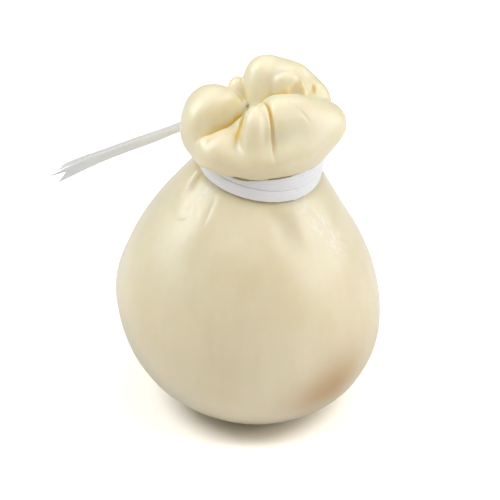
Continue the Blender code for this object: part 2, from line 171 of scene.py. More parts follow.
# A crease runs out from the pit and turns from its near azimuth to its far one (0 is +X,
# -90 the front). It is whole above its upper height, gone below its lower one.
Crease = namedtuple("Crease", "near far depth width upper lower start")
CREASES = (
    Crease(-133, -145, 0.006, 0.0008, 0.188, 0.176, -0.002),
    Crease(-104, -99, 0.005, 0.0009, 0.190, 0.178, -0.002),
    Crease(-58, -69, 0.004, 0.0006, 0.190, 0.172, 0.006),
    Crease(58, 50, 0.005, 0.0018, 0.196, 0.172, 0.022),
    Crease(84, 88, 0.005, 0.0020, 0.196, 0.172, 0.022),
    Crease(140, 150, 0.005, 0.0020, 0.190, 0.172, 0.014),
)
CREASE_NEAR = 0.012
CREASE_FAR = 0.040
CREASE_START_LENGTH = 0.010
CREASE_BOTTOM = 0.0003

# ---- the fan of rays that carries a ball's points out to the skin ----
# At each listed row of the ball: the axis point (x, y, z) that the rays start from,
# how far out from it they start, their elevation, and how much they lean with the
# neck. Past 90 degrees a ray points back to the pit, down a lobe's inner wall.
Ray = namedtuple("Ray", "row x y z out elevation lean")
FAN = (
    Ray(0, 0.0045, 0.000, 0.040, 0.000, -90, 0.0),
    Ray(3, 0.0045, 0.000, 0.040, 0.004, -60, 0.0),
    Ray(5, 0.0045, 0.000, 0.040, 0.006, -48, 0.0),
    Ray(9, 0.0034, 0.000, 0.045, 0.010, -25, 0.0),
    Ray(14, 0.0002, 0.000, 0.060, 0.010, 0, 0.0),
    Ray(19, -0.0020, 0.000, 0.095, 0.010, 0, 0.0),
    Ray(24, -0.0010, 0.001, 0.135, 0.010, 0, 0.4),
    Ray(26, 0.0042, 0.001, 0.147, 0.010, 0, 1.0),
    Ray(27, 0.0048, 0.001, 0.1508, 0.010, 0, 1.0),
    Ray(28, 0.0050, 0.001, 0.1525, 0.010, 0, 1.0),
    Ray(29, 0.0060, 0.000, 0.1580, 0.010, 0, 1.0),
    Ray(30, 0.0075, -0.001, 0.1680, 0.010, -10, 1.0),
    Ray(31, 0.0085, -0.001, 0.1765, 0.010, -22, 1.0),
    Ray(32, 0.0091, -0.002, 0.1790, 0.0308, -76, 1.0),
    Ray(33, 0.0091, -0.002, 0.1790, 0.0320, -68, 1.0),
    Ray(34, 0.0088, -0.002, 0.1790, 0.0305, -52, 1.0),
    Ray(36, 0.0030, -0.001, 0.1800, 0.024, -25, 0.5),
    Ray(39, -0.0015, -0.001, 0.1790, 0.020, 8, 0.0),
    Ray(45, -0.0015, -0.001, 0.1760, 0.021, 75, 0.0),
    Ray(51, -0.0015, -0.001, 0.1760, 0.020, 122, 0.0),
    Ray(55, -0.0015, -0.001, 0.1690, 0.009, 112, 0.0),
    Ray(58, -0.0015, -0.001, 0.1600, 0.000, 90, 0.0),
)
# At the back right the rays of the head start higher.
LIFT = 0.006
LIFT_AZIMUTH = 45.0
LIFT_ROWS = (36, 44, 51, 58)
# At the left the first rays of the head start lower instead, clear of the left ball's seam.
SINK = 0.006
SINK_AZIMUTH = -155.0
SINK_ROWS = (31, 32, 36, 40)

# ---- the fine mesh of the skin: rows of the fan at even shares of the grid ----
SKIN_COLUMNS = 384
SKIN_ROWS = 256
FRONT_CROWDING = 0.40
ROW_SHARES = (0.0, 0.14, 0.41, 0.46, 0.51, 0.65, 1.0)
ROW_VALUES = (0.0, 19.0, 26.5, 31.0, 33.0, 40.0, 58.0)
MARCH_STEPS = 120
STRIDE_SHARE = 0.5
SHORTEST_STRIDE = 0.0003
HALVINGS = 14
LEVEL_WITHIN = 0.00001
EASE_ROUNDS = 16
EASE_SHARE = 0.5
EASE_FROM_ROW = (31.5, 35.0)
SLOPE_STEP = 0.0002
LONGEST_PULL = 0.0006
LEAST_SLOPE = 0.2

# ---- fine relief: each stroke is a line on the skin, pressed in or standing up ----
Stroke = namedtuple("Stroke", "depth width line")
STROKES = (
    # the dimple that runs down from the tie at the left, and its raised side
    Stroke(0.0019, 0.0024,
           ((-0.0262, -0.0114, 0.1554), (-0.0304, -0.0151, 0.1522), (-0.0343, -0.0188, 0.1470))),
    Stroke(-0.0005, 0.0030,
           ((-0.0351, -0.0061, 0.1511), (-0.0378, -0.0089, 0.1476), (-0.0399, -0.0128, 0.1441))),
    # the narrow pleats below it, each with a raised lip
    Stroke(0.0003, 0.0012,
           ((-0.0292, -0.0224, 0.1490), (-0.0287, -0.0305, 0.1435), (-0.0281, -0.0370, 0.1380))),
    Stroke(-0.00012, 0.0018,
           ((-0.0270, -0.0250, 0.1490), (-0.0265, -0.0325, 0.1435), (-0.0262, -0.0385, 0.1380))),
    Stroke(0.0003, 0.0012,
           ((-0.0187, -0.0299, 0.1493), (-0.0219, -0.0350, 0.1436), (-0.0251, -0.0401, 0.1367))),
    Stroke(-0.00012, 0.0018,
           ((-0.0168, -0.0320, 0.1480), (-0.0200, -0.0372, 0.1420), (-0.0230, -0.0420, 0.1350))),
    Stroke(0.0003, 0.0012,
           ((-0.0314, -0.0262, 0.1449), (-0.0345, -0.0276, 0.1412), (-0.0369, -0.0286, 0.1381))),
    Stroke(0.0004, 0.0008,
           ((-0.0449, -0.0158, 0.1370), (-0.0424, -0.0214, 0.1371), (-0.0401, -0.0261, 0.1366))),
    Stroke(-0.0004, 0.0010,
           ((-0.0392, -0.0282, 0.1360), (-0.0361, -0.0302, 0.1376), (-0.0333, -0.0318, 0.1388))),
    # the broad fold at the right of the middle, the plateau beside it and a short ridge
    Stroke(0.0011, 0.0062,
           ((0.0080, -0.0330, 0.1475), (0.0165, -0.0390, 0.1390), (0.0240, -0.0490, 0.1210))),
    Stroke(-0.0008, 0.0055,
           ((0.0225, -0.0300, 0.1450), (0.0305, -0.0370, 0.1340), (0.0350, -0.0450, 0.1200))),
    Stroke(-0.0003, 0.0010,
           ((0.0264, -0.0250, 0.1470), (0.0275, -0.0268, 0.1440), (0.0285, -0.0299, 0.1407))),
    # the groove and the swelling at the right end of the back roll
    Stroke(0.0022, 0.0016, ((0.0345, 0.0090, 0.1998), (0.0346, 0.0055, 0.1970), (0.0346, 0.0025, 0.1935))),
    Stroke(-0.0010, 0.0022, ((0.0287, 0.0108, 0.2009), (0.0302, 0.0076, 0.1976), (0.0318, 0.0029, 0.1945))),
    # the thin creases in the left ball and in the front right roll, and a small bump
    Stroke(0.0005, 0.0009,
           ((-0.0196, -0.0144, 0.1910), (-0.0244, -0.0171, 0.1882), (-0.0291, -0.0183, 0.1853))),
    Stroke(0.0004, 0.0007,
           ((0.0209, -0.0209, 0.2018), (0.0270, -0.0240, 0.1976), (0.0330, -0.0267, 0.1907))),
    Stroke(-0.0005, 0.0008,
           ((0.0215, -0.0394, 0.1746), (0.0219, -0.0395, 0.1744), (0.0223, -0.0395, 0.1743))),
)

# where a stroke fades in and out, as shares of its line
STROKE_FADE = (-0.2, 0.3, 0.6, 1.0)

# ---- slow swells: a height and two crossed waves, each with its radians a metre along
# x, y and z and its start ----
SWELLS = (
    (0.00030, ((62.0, 0.0, 41.0, 1.1), (0.0, 55.0, -38.0, 0.4))),
    (0.00008, ((170.0, -90.0, 0.0, 0.7), (0.0, 110.0, 150.0, 2.0))),
)
# the swells are measured from this far under the skin
SWELL_ROOM = 0.00025
# the swells begin and are full at these heights above the flat spot
SWELL_HEIGHTS = (0.002, 0.012)

# ---- painted shade: a darker brown patch low at the right, near the floor: its middle, its reach along and across ----
SHADE_PATCH_MIDDLE = np.array((0.0460, -0.0590, 0.0440))
SHADE_PATCH_ALONG = np.array((0.0277, 0.0137, 0.0206))
SHADE_PATCH_LENGTH = 0.0270
SHADE_PATCH_WIDTH = 0.0190

# ---- whiter skin below the tie, partly drier skin and partly painted sheen: the middle and the reach of each patch ----
DRY_SHEEN_PATCHES = (
    ((-0.0240, -0.0250, 0.1503), 0.0060),
    ((-0.0340, -0.0180, 0.1460), 0.0035),
    ((0.0275, -0.0270, 0.1430), 0.0050),
    ((0.0370, -0.0285, 0.1330), 0.0080),
    ((0.0470, -0.0285, 0.1210), 0.0080),
)

# ---- the ribbon's two turns ----
RIBBON_THICKNESS = 0.0009
RIBBON_CLEARANCE = 0.0003
RIBBON_CROWN = 0.00012
LOWER_TURN = (-0.0072, -0.00008)
UPPER_TURN = (0.00002, 0.0070)
TURN_COLUMNS = 360
TURN_SIDES = 40
EDGE_ROOM = 0.00002
EDGE_POWER = 0.25
FACE_POWER = 0.45
# waves round a turn: height, number of waves and start
EDGE_WAVE = ((0.00020, 2, 1.0), (0.00010, 4, 2.6))
LOWER_FACE_WAVE = ((0.00018, 3, 0.4), (0.00012, 7, 2.0))
UPPER_FACE_WAVE = ((0.00030, 2, 2.4), (0.00012, 5, 1.0))
# where a turn's upper edge is pressed down, or stands up: depth, azimuth and reach in degrees
Dip = namedtuple("Dip", "depth azimuth reach")
UPPER_DIPS = (Dip(0.0042, -115.0, 20.0), Dip(-0.0040, -46.0, 25.0))
# small slanting folds across both turns: height, azimuth and slant in degrees
Kink = namedtuple("Kink", "height azimuth slant")
KINKS = (Kink(0.00035, -53.0, 3.0), Kink(0.00025, -61.0, -5.0), Kink(0.00020, -69.0, 4.0))
KINK_REACH = 1.8

# ---- the knot behind the neck ----
KNOT_ANGLE = math.radians(125.0)
KNOT_SIZE = (0.0034, 0.0050, 0.0040)
KNOT_COLUMNS = 96
KNOT_ROWS = 64
KNOT_FULLNESS = 0.94
KNOT_RIBS = 3.0
KNOT_RIB_CENTRE = 0.35
KNOT_RIB_SLANT = 2.2
KNOT_GROOVE = 0.10
KNOT_LINE_SLANT = 0.6

# ---- the two free ends: each with its route, its roll in degrees, how far its tip is cut
# back at one edge, at the notch and at the other edge, and how grey its tip is ----
Tail = namedtuple("Tail", "route roll_at_knot roll_at_tip notch greying")
TAILS = {
    "tie_tail_front": Tail((
        (-0.0215, 0.0275, 0.1655),
        (-0.0290, 0.0285, 0.1640),
        (-0.0388, 0.0275, 0.1613),
        (-0.0516, 0.0200, 0.1600),
        (-0.0726, 0.0120, 0.1562),
        (-0.0865, 0.0060, 0.1532),
        (-0.1003, 0.0010, 0.1487),
        (-0.1108, -0.0025, 0.1445),
    ), 22.0, 8.0, (0.0035, 0.0110, 0.0), 1.0),
    "tie_tail_back": Tail((
        (-0.0205, 0.0330, 0.1665),
        (-0.0290, 0.0335, 0.1650),
        (-0.0388, 0.0320, 0.1625),
        (-0.0516, 0.0240, 0.1612),
        (-0.0726, 0.0155, 0.1580),
        (-0.0865, 0.0095, 0.1555),
        (-0.1000, 0.0050, 0.1520),
        (-0.1105, 0.0015, 0.1478),
    ), 22.0, 50.0, (0.0020, 0.0100, 0.0), 0.0),
}
TAIL_WIDTH = 0.0070
TAIL_THICKNESS = 0.0005
TAIL_ROWS = 220
TAIL_COLUMNS = 21
# gathered near the knot: the share of the width there, and where it begins to spread and is full
TAIL_GATHERED = 0.66
TAIL_SPREAD = (0.010, 0.066)
NOTCH_AT = 0.1
TAIL_CUP = 0.0005
TAIL_CUP_LEVEL = 0.4
TAIL_RIPPLE = 0.00025
RIPPLES_PER_METRE = 130.0
RIM_POWER = 8
RIM_LEAST = 0.04

# ---- painted shade in the folds, how they darken: steps out from the skin, in metres, and their weights ----
HOLLOW_STEPS = ((0.001, 0.20), (0.003, 0.40), (0.008, 0.40))
# the pressed strokes add to the hollow too, so the dimples and pleats also get painted shade
HOLLOW_PER_METRE = 310.0
GAP_STEPS = 2

# ---- the finishes: colours are linear, and a hollow is 0 on open skin and 1 in a fold ----
RIND_LIGHT = (0.80, 0.725, 0.52)
RIND_DEEP = (0.765, 0.66, 0.42)
# painted light: the head's colour is made lighter and cooler, standing in for light falling on it
HEAD_PAINTED_LIGHT = (1.035, 1.065, 1.095)
# painted shade: the darker gold laid into the folds, where shade falls
FOLD_PAINTED_SHADE = (0.77, 0.55, 0.13)
# painted shade: the darker brown of the patch low at the right
PAINTED_SHADE_BROWN = (0.49, 0.305, 0.105)
# the whiter flecks below the tie: partly drier skin, partly painted sheen
DRY_SHEEN_WHITE = (0.86, 0.82, 0.69)
RIND_STREAK = (0.965, 0.955, 0.93)
WHITE = (1.0, 1.0, 1.0)
BLACK = (0.0, 0.0, 0.0)
STREAK_STRETCH = (1.0, 1.0, 0.10)
# where the head's painted light begins and is full
HEAD_PAINTED_LIGHT_HEIGHTS = (0.150, 0.185)
FOLD_HOLLOWS = (0.44, 0.90)
FOLD_MOST = (0.98, 0.98, 0.98)
GLOSS_HOLLOWS = (0.2, 0.7)
GLOSS_OPEN_TO_FOLDED = (0.60, 0.04)
SHEEN_ROUGHNESS = (0.28, 0.42)
DRY_ROUGHNESS = 0.35
RIBBON_WHITE = (0.96, 0.96, 0.95)
RIBBON_LINE = (0.86, 0.87, 0.88)
RIBBON_TIP = (0.58, 0.61, 0.61)
LINE_STRETCH = (1.0, 0.02, 1.0)
FLOOR_SEEN = (0.80, 0.725, 0.59)
FLOOR_SUN_COLOUR = (0.92, 1.0, 1.24)
FLOOR_BOUNCE = (0.365, 0.34, 0.30)

# ---- the studio ----
FLOOR_LEVEL = -0.0001
FLOOR_REACH = 6.0
FLOOR_SUN_PLACES = ((-0.70, -0.45, 1.40), (0.70, -0.45, 1.40))
FLOOR_SUN_POWER = 2.3
FLOOR_SUN_ANGLE = math.radians(24.0)
WORLD_SHOWN = 1.05
WORLD_LIGHT = 0.29
Lamp = namedtuple("Lamp", "name place aim size power colour")
LAMPS = (
    Lamp("left_window", (-1.1, 0.10, 1.05), (0.0, 0.0, 0.12), (0.8, 1.2), 11.5, (0.89, 0.96, 1.03)),
    Lamp("right_window", (1.25, -0.18, 0.75), (0.0, 0.0, 0.12), (1.5, 1.1), 11.7, (0.97, 1.0, 1.06)),
    Lamp("top", (0.0, 0.3, 1.5), (0.0, 0.0, 0.10), (1.4, 1.4), 7.2, (1.0, 1.0, 1.0)),
    Lamp("front_top", (0.0, -0.80, 1.35), (0.0, 0.0, 0.05), (1.6, 0.8), 5.3, (1.0, 1.0, 1.0)),
)


def unit(vectors):
    """The same directions, each with a length of 1."""
    return vectors / np.maximum(np.linalg.norm(vectors, axis=-1, keepdims=True), TINY)


def smooth_line(x, knots, values):
    """Cubic pieces through the knots, each knot's slope taken from its neighbours."""
    knots = np.asarray(knots, float)
    values = np.asarray(values, float)
    slopes = np.gradient(values, knots)
    x = np.clip(x, knots[0], knots[-1])
    i = np.clip(np.searchsorted(knots, x) - 1, 0, len(knots) - 2)
    width = knots[i + 1] - knots[i]
    u = (x - knots[i]) / width
    start = (1 + 2 * u) * (1 - u) ** 2 * values[i] + u * (1 - u) ** 2 * width * slopes[i]
    end = u * u * (3 - 2 * u) * values[i + 1] - u * u * (1 - u) * width * slopes[i + 1]
    return start + end


def soft_step(x, low, high):
    """0 below low, 1 above high, and a smooth rise between."""
    t = np.clip((x - low) / (high - low), 0.0, 1.0)
    return t * t * (3 - 2 * t)


def window(x, ends):
    """0 outside the first and last end, 1 between the middle two, smooth between."""
    return soft_step(x, ends[0], ends[1]) * soft_step(-x, -ends[3], -ends[2])


def soft_min(a, b, rounding):
    """The union of two distance fields, its seam filled to a round of this size."""
    overlap = np.maximum(rounding - np.abs(a - b), 0.0) / rounding
    return np.minimum(a, b) - overlap * overlap * rounding * 0.25


def soft_max(a, b, rounding):
    """The common part of two distance fields, its edge rounded to this size."""
    return -soft_min(-a, -b, rounding)


def lobe_distance(points, lobe):
    """Roughly the distance to an ellipsoid that leans about the Y axis."""
    offset = points - np.array(lobe.centre)
    lean = np.radians(lobe.lean)
    across = offset[..., 0] * np.cos(lean) - offset[..., 2] * np.sin(lean)
    along = offset[..., 0] * np.sin(lean) + offset[..., 2] * np.cos(lean)
    local = np.stack((across, offset[..., 1], along), axis=-1)
    size = np.array(lobe.size)
    near = np.sqrt(((local / size) ** 2).sum(axis=-1))
    slope = np.sqrt(((local / size ** 2) ** 2).sum(axis=-1)) + TINY
    return near * (near - 1.0) / slope


def body_distance(points):
    """Distance to the turned body, cut level at the flat spot and above the neck."""
    heights, radii, drifts = zip(*BODY_STATIONS)
    z = np.clip(points[..., 2], heights[0], heights[-1])
    radius = smooth_line(z, heights, radii)
    drift = smooth_line(z, heights, drifts)
    widening = smooth_line(z + SMALL_STEP, heights, radii) - smooth_line(z - SMALL_STEP, heights, radii)
    taper = np.minimum(np.abs(widening) / (2 * SMALL_STEP), STEEPEST_TAPER)
    side = np.hypot(points[..., 0] - drift, points[..., 1]) - radius
    side = soft_max(side / np.hypot(taper, 1.0), -points[..., 2], FLAT_SPOT_ROUNDING)
    return soft_max(side, points[..., 2] - heights[-1], BODY_TOP_ROUNDING)


def ring_coordinates(points):
    """Distance from the leaning neck's axis, and height along it from the ribbon's middle."""
    offset = points - RING_CENTRE
    height = offset @ unit(NECK_AXIS)
    radius = np.sqrt(np.maximum((offset ** 2).sum(axis=-1) - height ** 2, 0.0))
    return radius, height


def crease_depth(points):
    """How far all the creases together push the head's skin in."""
    offset = points[..., :2] - PIT
    total = np.zeros(points.shape[:-1])
    away = np.hypot(offset[..., 0], offset[..., 1])
    turn = np.clip((away - CREASE_NEAR) / (CREASE_FAR - CREASE_NEAR), 0.0, 1.0)
    for crease in CREASES:
        azimuth = np.radians(crease.near + (crease.far - crease.near) * turn)
        along = offset[..., 0] * np.cos(azimuth) + offset[..., 1] * np.sin(azimuth)
        aside = offset[..., 1] * np.cos(azimuth) - offset[..., 0] * np.sin(azimuth)
        fade = soft_step(points[..., 2], crease.lower, crease.upper)
        fade = fade * soft_step(along, crease.start, crease.start + CREASE_START_LENGTH)
        total += crease.depth * fade * np.exp(-np.hypot(aside, CREASE_BOTTOM) / crease.width)
    return total


def head_distance(points):
    """Distance to the folded head: the bun and the lobes joined, less the two hollows and the
    creases."""
    top = (points - BUN_TOP * UP) @ unit(BUN_TOP_SLOPE)
    bun = soft_max(lobe_distance(points, Lobe(BUN_CENTRE, BUN_SIZE, 0)), top, BUN_TOP_ROUNDING)
    back_bun = lobe_distance(points, Lobe(BACK_BUN_CENTRE, BACK_BUN_SIZE, 0))
    bun = soft_min(bun, back_bun, BUN_TO_BUN)
    lobes = None
    seam = LOBE_TO_LOBE + RIM_FILL * soft_step(BUN_CENTRE[0] - points[..., 0], RIM_FROM, RIM_TO)
    for name, (rounding, members) in LOBE_GROUPS.items():
        group = lobe_distance(points, members[0])
        for member in members[1:]:
            group = soft_min(group, lobe_distance(points, member), rounding)
        if name == "inner flap":
            group = soft_max(group, -lobe_distance(points, FLAP_POCKET), POCKET_LIP)
        if name == "left ball":
            bulge = VALLEY_BULGE * (1.0 - soft_step(points[..., 2], *VALLEY_FADE))
            beyond = (points[..., :2] - PIT) @ VALLEY_NORMAL - VALLEY_REACH - bulge
            group = soft_max(group, beyond, VALLEY_ROUNDING)
        lobes = group if lobes is None else soft_min(lobes, group, seam)
    lobes = soft_max(lobes, -lobe_distance(points, CORNER_POCKET), POCKET_LIP)
    return soft_min(bun, lobes, LOBE_TO_BUN) + crease_depth(points)


def skin_distance(points):
    """Roughly the distance to the cheese's skin, negative inside."""
    radius, height = ring_coordinates(points)
    left = soft_step(RING_CENTRE[0] - points[..., 0], DROOP_FROM, DROOP_TO)
    lip = LIP + CHIN * soft_step(points[..., 0], CHIN_FROM, CHIN_TO)
    floor = HEAD_FLOOR - DROOP * left - lip * soft_step(radius, LIP_FROM, LIP_TO)
    head = soft_max(head_distance(points), floor - height, HEAD_FLOOR_ROUNDING)
    neck = np.maximum(radius - NECK_RADIUS, np.maximum(NECK_CORE[0] - height, height - NECK_CORE[1]))
    cheese = soft_min(np.minimum(body_distance(points), neck), head, HEAD_TO_NECK)
    slot = soft_max(NECK_RADIUS - radius, np.abs(height) - NECK_HALF_HEIGHT, SLOT_ROUNDING)
    slot = np.where(height > 0.0, soft_max(slot, radius - SLOT_RADIUS, SLOT_ROUNDING), slot)
    cheese = soft_max(cheese, -slot, SLOT_ROUNDING)
    below = np.minimum(height + NECK_HALF_HEIGHT, 0.0)
    shoulder = (radius - SHOULDER_RADIUS + below * SHOULDER_STEEPNESS) / np.hypot(SHOULDER_STEEPNESS, 1.0)
    return np.where(height < 0.0, soft_max(cheese, shoulder, SHOULDER_ROUNDING), cheese)


def fan_rays(azimuth, row):
    """The start and direction of the ray for each azimuth (radians) and row."""
    rows, *columns = zip(*FAN)
    x, y, z, out, elevation, lean = (np.interp(row, rows, values) for values in columns)
    elevation = np.radians(elevation)
    back = (0.5 + 0.5 * np.cos(azimuth - np.radians(LIFT_AZIMUTH))) ** 2
    left = (0.5 + 0.5 * np.cos(azimuth - np.radians(SINK_AZIMUTH))) ** 2
    lift = LIFT * back * window(row, LIFT_ROWS) - SINK * left * window(row, SINK_ROWS)
    right = lean * LEAN_RIGHT
    front = -lean * LEAN_FRONT
    level = np.stack((np.cos(azimuth), np.sin(azimuth),
                      -np.cos(azimuth) * right - np.sin(azimuth) * front), axis=-1)
    upright = np.stack((right, front, np.ones_like(right)), axis=-1)
    start = np.stack((x, y, z), axis=-1) + level * out[..., None] + upright * lift[..., None]
    direction = level * np.cos(elevation)[..., None] + upright * np.sin(elevation)[..., None]
    return start, unit(direction)


def skin_points(azimuth, row):
    """Where each ray first leaves the cheese: strides of a share of the distance still to
    go, then halvings between the last place inside and the first outside."""
    start, direction = fan_rays(azimuth.ravel(), row.ravel())
    inside = np.zeros(row.size)
    outside = np.full(row.size, np.nan)
    for _ in range(MARCH_STEPS):
        still = np.flatnonzero(np.isnan(outside))
        if not still.size:
            break
        reach = inside[still]
        distance = skin_distance(start[still] + direction[still] * reach[:, None])
        stride = reach + np.maximum(-distance * STRIDE_SHARE, SHORTEST_STRIDE)
        beyond = skin_distance(start[still] + direction[still] * stride[:, None]) > 0.0
        outside[still[beyond]] = stride[beyond]
        inside[still[~beyond]] = stride[~beyond]
    outside = np.where(np.isnan(outside), inside, outside)
    for _ in range(HALVINGS):
        middle = 0.5 * (inside + outside)
        out = skin_distance(start + direction * middle[:, None]) > 0.0
        outside = np.where(out, middle, outside)
        inside = np.where(out, inside, middle)
    points = start + direction * (0.5 * (inside + outside))[:, None]
    points[:, 2] = np.where(np.abs(points[:, 2]) < LEVEL_WITHIN, 0.0, points[:, 2])
    return points.reshape(*row.shape, 3)


def skin_slope(points):
    """The direction in which the distance grows, by differences over a small tetrahedron."""
    total = np.zeros(points.shape)
    for corner in ((1, -1, -1), (-1, -1, 1), (-1, 1, -1), (1, 1, 1)):
        step = np.array(corner, float)
        total += step * skin_distance(points + step * SLOPE_STEP)[..., None]
    return total / (4 * SLOPE_STEP)


def pull_to_skin(points, slope):
    """Moves each point against the slope of the distance onto the skin, a short way at most."""
    pull = skin_distance(points) / np.maximum((slope ** 2).sum(axis=-1), LEAST_SLOPE)
    return points - slope * np.clip(pull, -LONGEST_PULL, LONGEST_PULL)[..., None]


def ease(grid, row):
    """Evens out the head's grid: each point slides along the skin part way to the mean of its
    four neighbours, and is pulled back onto the skin, so that no face bridges a fold that the
    rays could not see into."""
    share = EASE_SHARE * soft_step(row, *EASE_FROM_ROW)[1:-1, :, None]
    first = int(np.argmax(share[:, 0, 0] > 0.0))
    share = share[first:]
    for _ in range(EASE_ROUNDS):
        around = np.roll(grid, 1, axis=1) + np.roll(grid, -1, axis=1)
        mean = 0.25 * (around[1:-1] + grid[:-2] + grid[2:])[first:]
        here = grid[1 + first:-1]
        slope = skin_slope(here)
        normal = unit(slope)
        slide = (mean - here) * share
        slide -= normal * (slide * normal).sum(axis=-1, keepdims=True)
        grid[1 + first:-1] = pull_to_skin(here + slide, slope)
    return grid


def grid_normals(grid):
    """Unit normals of a closed grid of rows, from the differences along and across it."""
    along = np.gradient(grid, axis=0)
    across = np.roll(grid, -1, axis=1) - np.roll(grid, 1, axis=1)
    return unit(np.cross(across, along))


def line_distance(points, line):
    """Distance to a line of several straight runs, and how far along it the nearest place is."""
    best = np.full(points.shape[:-1], np.inf)
    place = np.zeros(points.shape[:-1])
    runs = len(line) - 1
    for index in range(runs):
        start = np.array(line[index])
        run = np.array(line[index + 1]) - start
        share = np.clip(((points - start) @ run) / (run @ run), 0.0, 1.0)
        away = np.linalg.norm(points - start - share[..., None] * run, axis=-1)
        place = np.where(away < best, (index + share) / runs, place)
        best = np.minimum(best, away)
    return best, place


def relief_depth(points):
    """How far the strokes press the skin in: a bell across each line, fading at its ends."""
    total = np.zeros(points.shape[:-1])
    for stroke in STROKES:
        away, place = line_distance(points, stroke.line)
        total += stroke.depth * window(place, STROKE_FADE) * np.exp(-(away / stroke.width) ** 2)
    return total


def unevenness(points):
    """Slow swells of a hand-formed cheese: a few crossed sine waves, well under a millimetre."""
    total = np.zeros(points.shape[:-1])
    for height, waves in SWELLS:
        swell = height
        for *rates, start in waves:
            swell = swell * np.sin(points @ np.array(rates) + start)
        total += swell
    return total


def shade_patch_share(points):
    """1 in the middle of the patch of painted brown shade, falling off as a long bell."""
    offset = points - SHADE_PATCH_MIDDLE
    direction = unit(SHADE_PATCH_ALONG)
    along = offset @ direction
    aside = np.linalg.norm(offset - along[..., None] * direction, axis=-1)
    return np.exp(-(along / SHADE_PATCH_LENGTH) ** 2 - (aside / SHADE_PATCH_WIDTH) ** 2)


def dry_sheen_share(points):
    """1 in the middle of each whiter patch, partly drier skin and partly painted sheen,
    falling off as a bell.
    """
    total = np.zeros(points.shape[:-1])
    for middle, reach in DRY_SHEEN_PATCHES:
        away = np.linalg.norm(points - np.array(middle), axis=-1)
        total = np.maximum(total, np.exp(-(away / reach) ** 2))
    return total


def hollow_share(points, normals):
    """0 on open skin, towards 1 in a fold: how much nearer the skin is, a few steps out
    along the normal, than on a flat place. It is the mask of the painted shade in the folds."""
    total = np.zeros(points.shape[:-1])
    for reach, weight in HOLLOW_STEPS:
        near = skin_distance(points + normals * reach) / reach
        total += weight * np.clip(1.0 - near, 0.0, 1.0)
    return total


def fill_narrow_gaps(field, steps):
    """Fills light lines narrower than twice these steps of the grid: the greatest value
    around each point, so many times over, and then the least."""
    for pick in (np.maximum, np.minimum):
        for _ in range(steps):
            field = pick(field, pick(np.roll(field, 1, axis=1), np.roll(field, -1, axis=1)))
            field[1:-1] = pick(field[1:-1], pick(field[:-2], field[2:]))
    return field


def sheet_faces(index):
    """Quads between neighbours in a grid of point numbers."""
    corners = (index[:-1, :-1], index[:-1, 1:], index[1:, 1:], index[1:, :-1])
    return np.stack(corners, axis=-1).reshape(-1, 4)


def closed_grid_faces(rows, columns):
    """Quads between the rows of a grid that is closed round its columns, and a fan of
    triangles at each pole; the poles are the last two points."""
    here = np.arange(columns)
    after = (here + 1) % columns
    base = np.arange(rows - 1)[:, None] * columns
    quads = np.stack((base + here, base + after, base + columns + after, base + columns + here), axis=-1)
    last = (rows - 1) * columns
    low = np.stack((np.full(columns, rows * columns), after, here), axis=-1)
    high = np.stack((np.full(columns, rows * columns + 1), last + here, last + after), axis=-1)
    return quads.reshape(-1, 4).tolist() + low.tolist() + high.tolist()


def with_poles(grid):
    """The grid's points, and then the middles of its first and last rows."""
    return np.concatenate((grid.reshape(-1, 3), grid[:1].mean(axis=1), grid[-1:].mean(axis=1)))


def make_piece(name, points, faces, material):
    """A smoothly shaded object of these points and faces, riding on the cheese's body."""
    mesh = bpy.data.meshes.new(name)
    mesh.from_pydata(points, (), faces)
    mesh.update()
    mesh.materials.append(material)
    mesh.shade_smooth()
    piece = bpy.data.objects.new(name, mesh)
    bpy.context.scene.collection.objects.link(piece)
    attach(piece, BODY)
    return piece


def add_attribute(piece, name, values):
    """One number a point, for the material to read."""
    attribute = piece.data.attributes.new(name, "FLOAT", "POINT")
    attribute.data.foreach_set("value", np.ascontiguousarray(values, dtype=np.float32))


def make_cheese(material):
    """The whole skin, p(u, v): u goes once round and v from the flat spot's middle, up the
    body, round the folds and down into the pit. Each point is where a ray of the fan first
    leaves the skin; the head's points are then evened out on the skin, and the fine relief
    moves every point along its normal."""
    turn = np.linspace(0.0, math.tau, SKIN_COLUMNS, endpoint=False)
    azimuth = turn - FRONT_CROWDING * np.cos(turn)
    rows = np.interp(np.arange(1, SKIN_ROWS) / SKIN_ROWS, ROW_SHARES, ROW_VALUES)
    azimuth, row = np.meshgrid(azimuth, rows)
    grid = ease(skin_points(azimuth, row), row)
    normals = grid_normals(grid)
    hollow = fill_narrow_gaps(hollow_share(grid, normals), GAP_STEPS)
    above = soft_step(grid[..., 2], *SWELL_HEIGHTS)
    pressed = relief_depth(grid)
    grid = grid + normals * ((unevenness(grid) - SWELL_ROOM) * above - pressed)[..., None]
    grid[..., 2] = np.maximum(grid[..., 2], 0.0)
    points = with_poles(grid)
    piece = make_piece("cheese_rind", points, closed_grid_faces(*grid.shape[:2]), material)
    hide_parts("cheese")
    # painted shade: the pressed strokes deepen the mask of the fold shade
    hollow = np.clip(hollow + pressed * HOLLOW_PER_METRE, 0.0, 1.0)
    add_attribute(piece, "hollow", np.concatenate((hollow.ravel(), (0.0, 1.0))))
    # painted shade: the darker brown patch low at the right
    add_attribute(piece, "shade_patch", shade_patch_share(points))
    # whiter patches below the tie: partly drier skin, partly painted sheen
    add_attribute(piece, "pale", dry_sheen_share(points))
    return piece


def ring_axes():
    """Three unit directions of the leaning neck: to the right, to the back and up its axis."""
    up = unit(NECK_AXIS)
    right = unit(np.array((1.0, 0.0, 0.0)) - up * up[0])
    return right, np.cross(up, right), up


def bell(angle, centre, reach):
    """1 at the centre of a stretch of the round, in degrees, falling off on both sides."""
    aside = (angle - centre + 180.0) % 360.0 - 180.0
    return np.exp(-(aside / reach) ** 2)


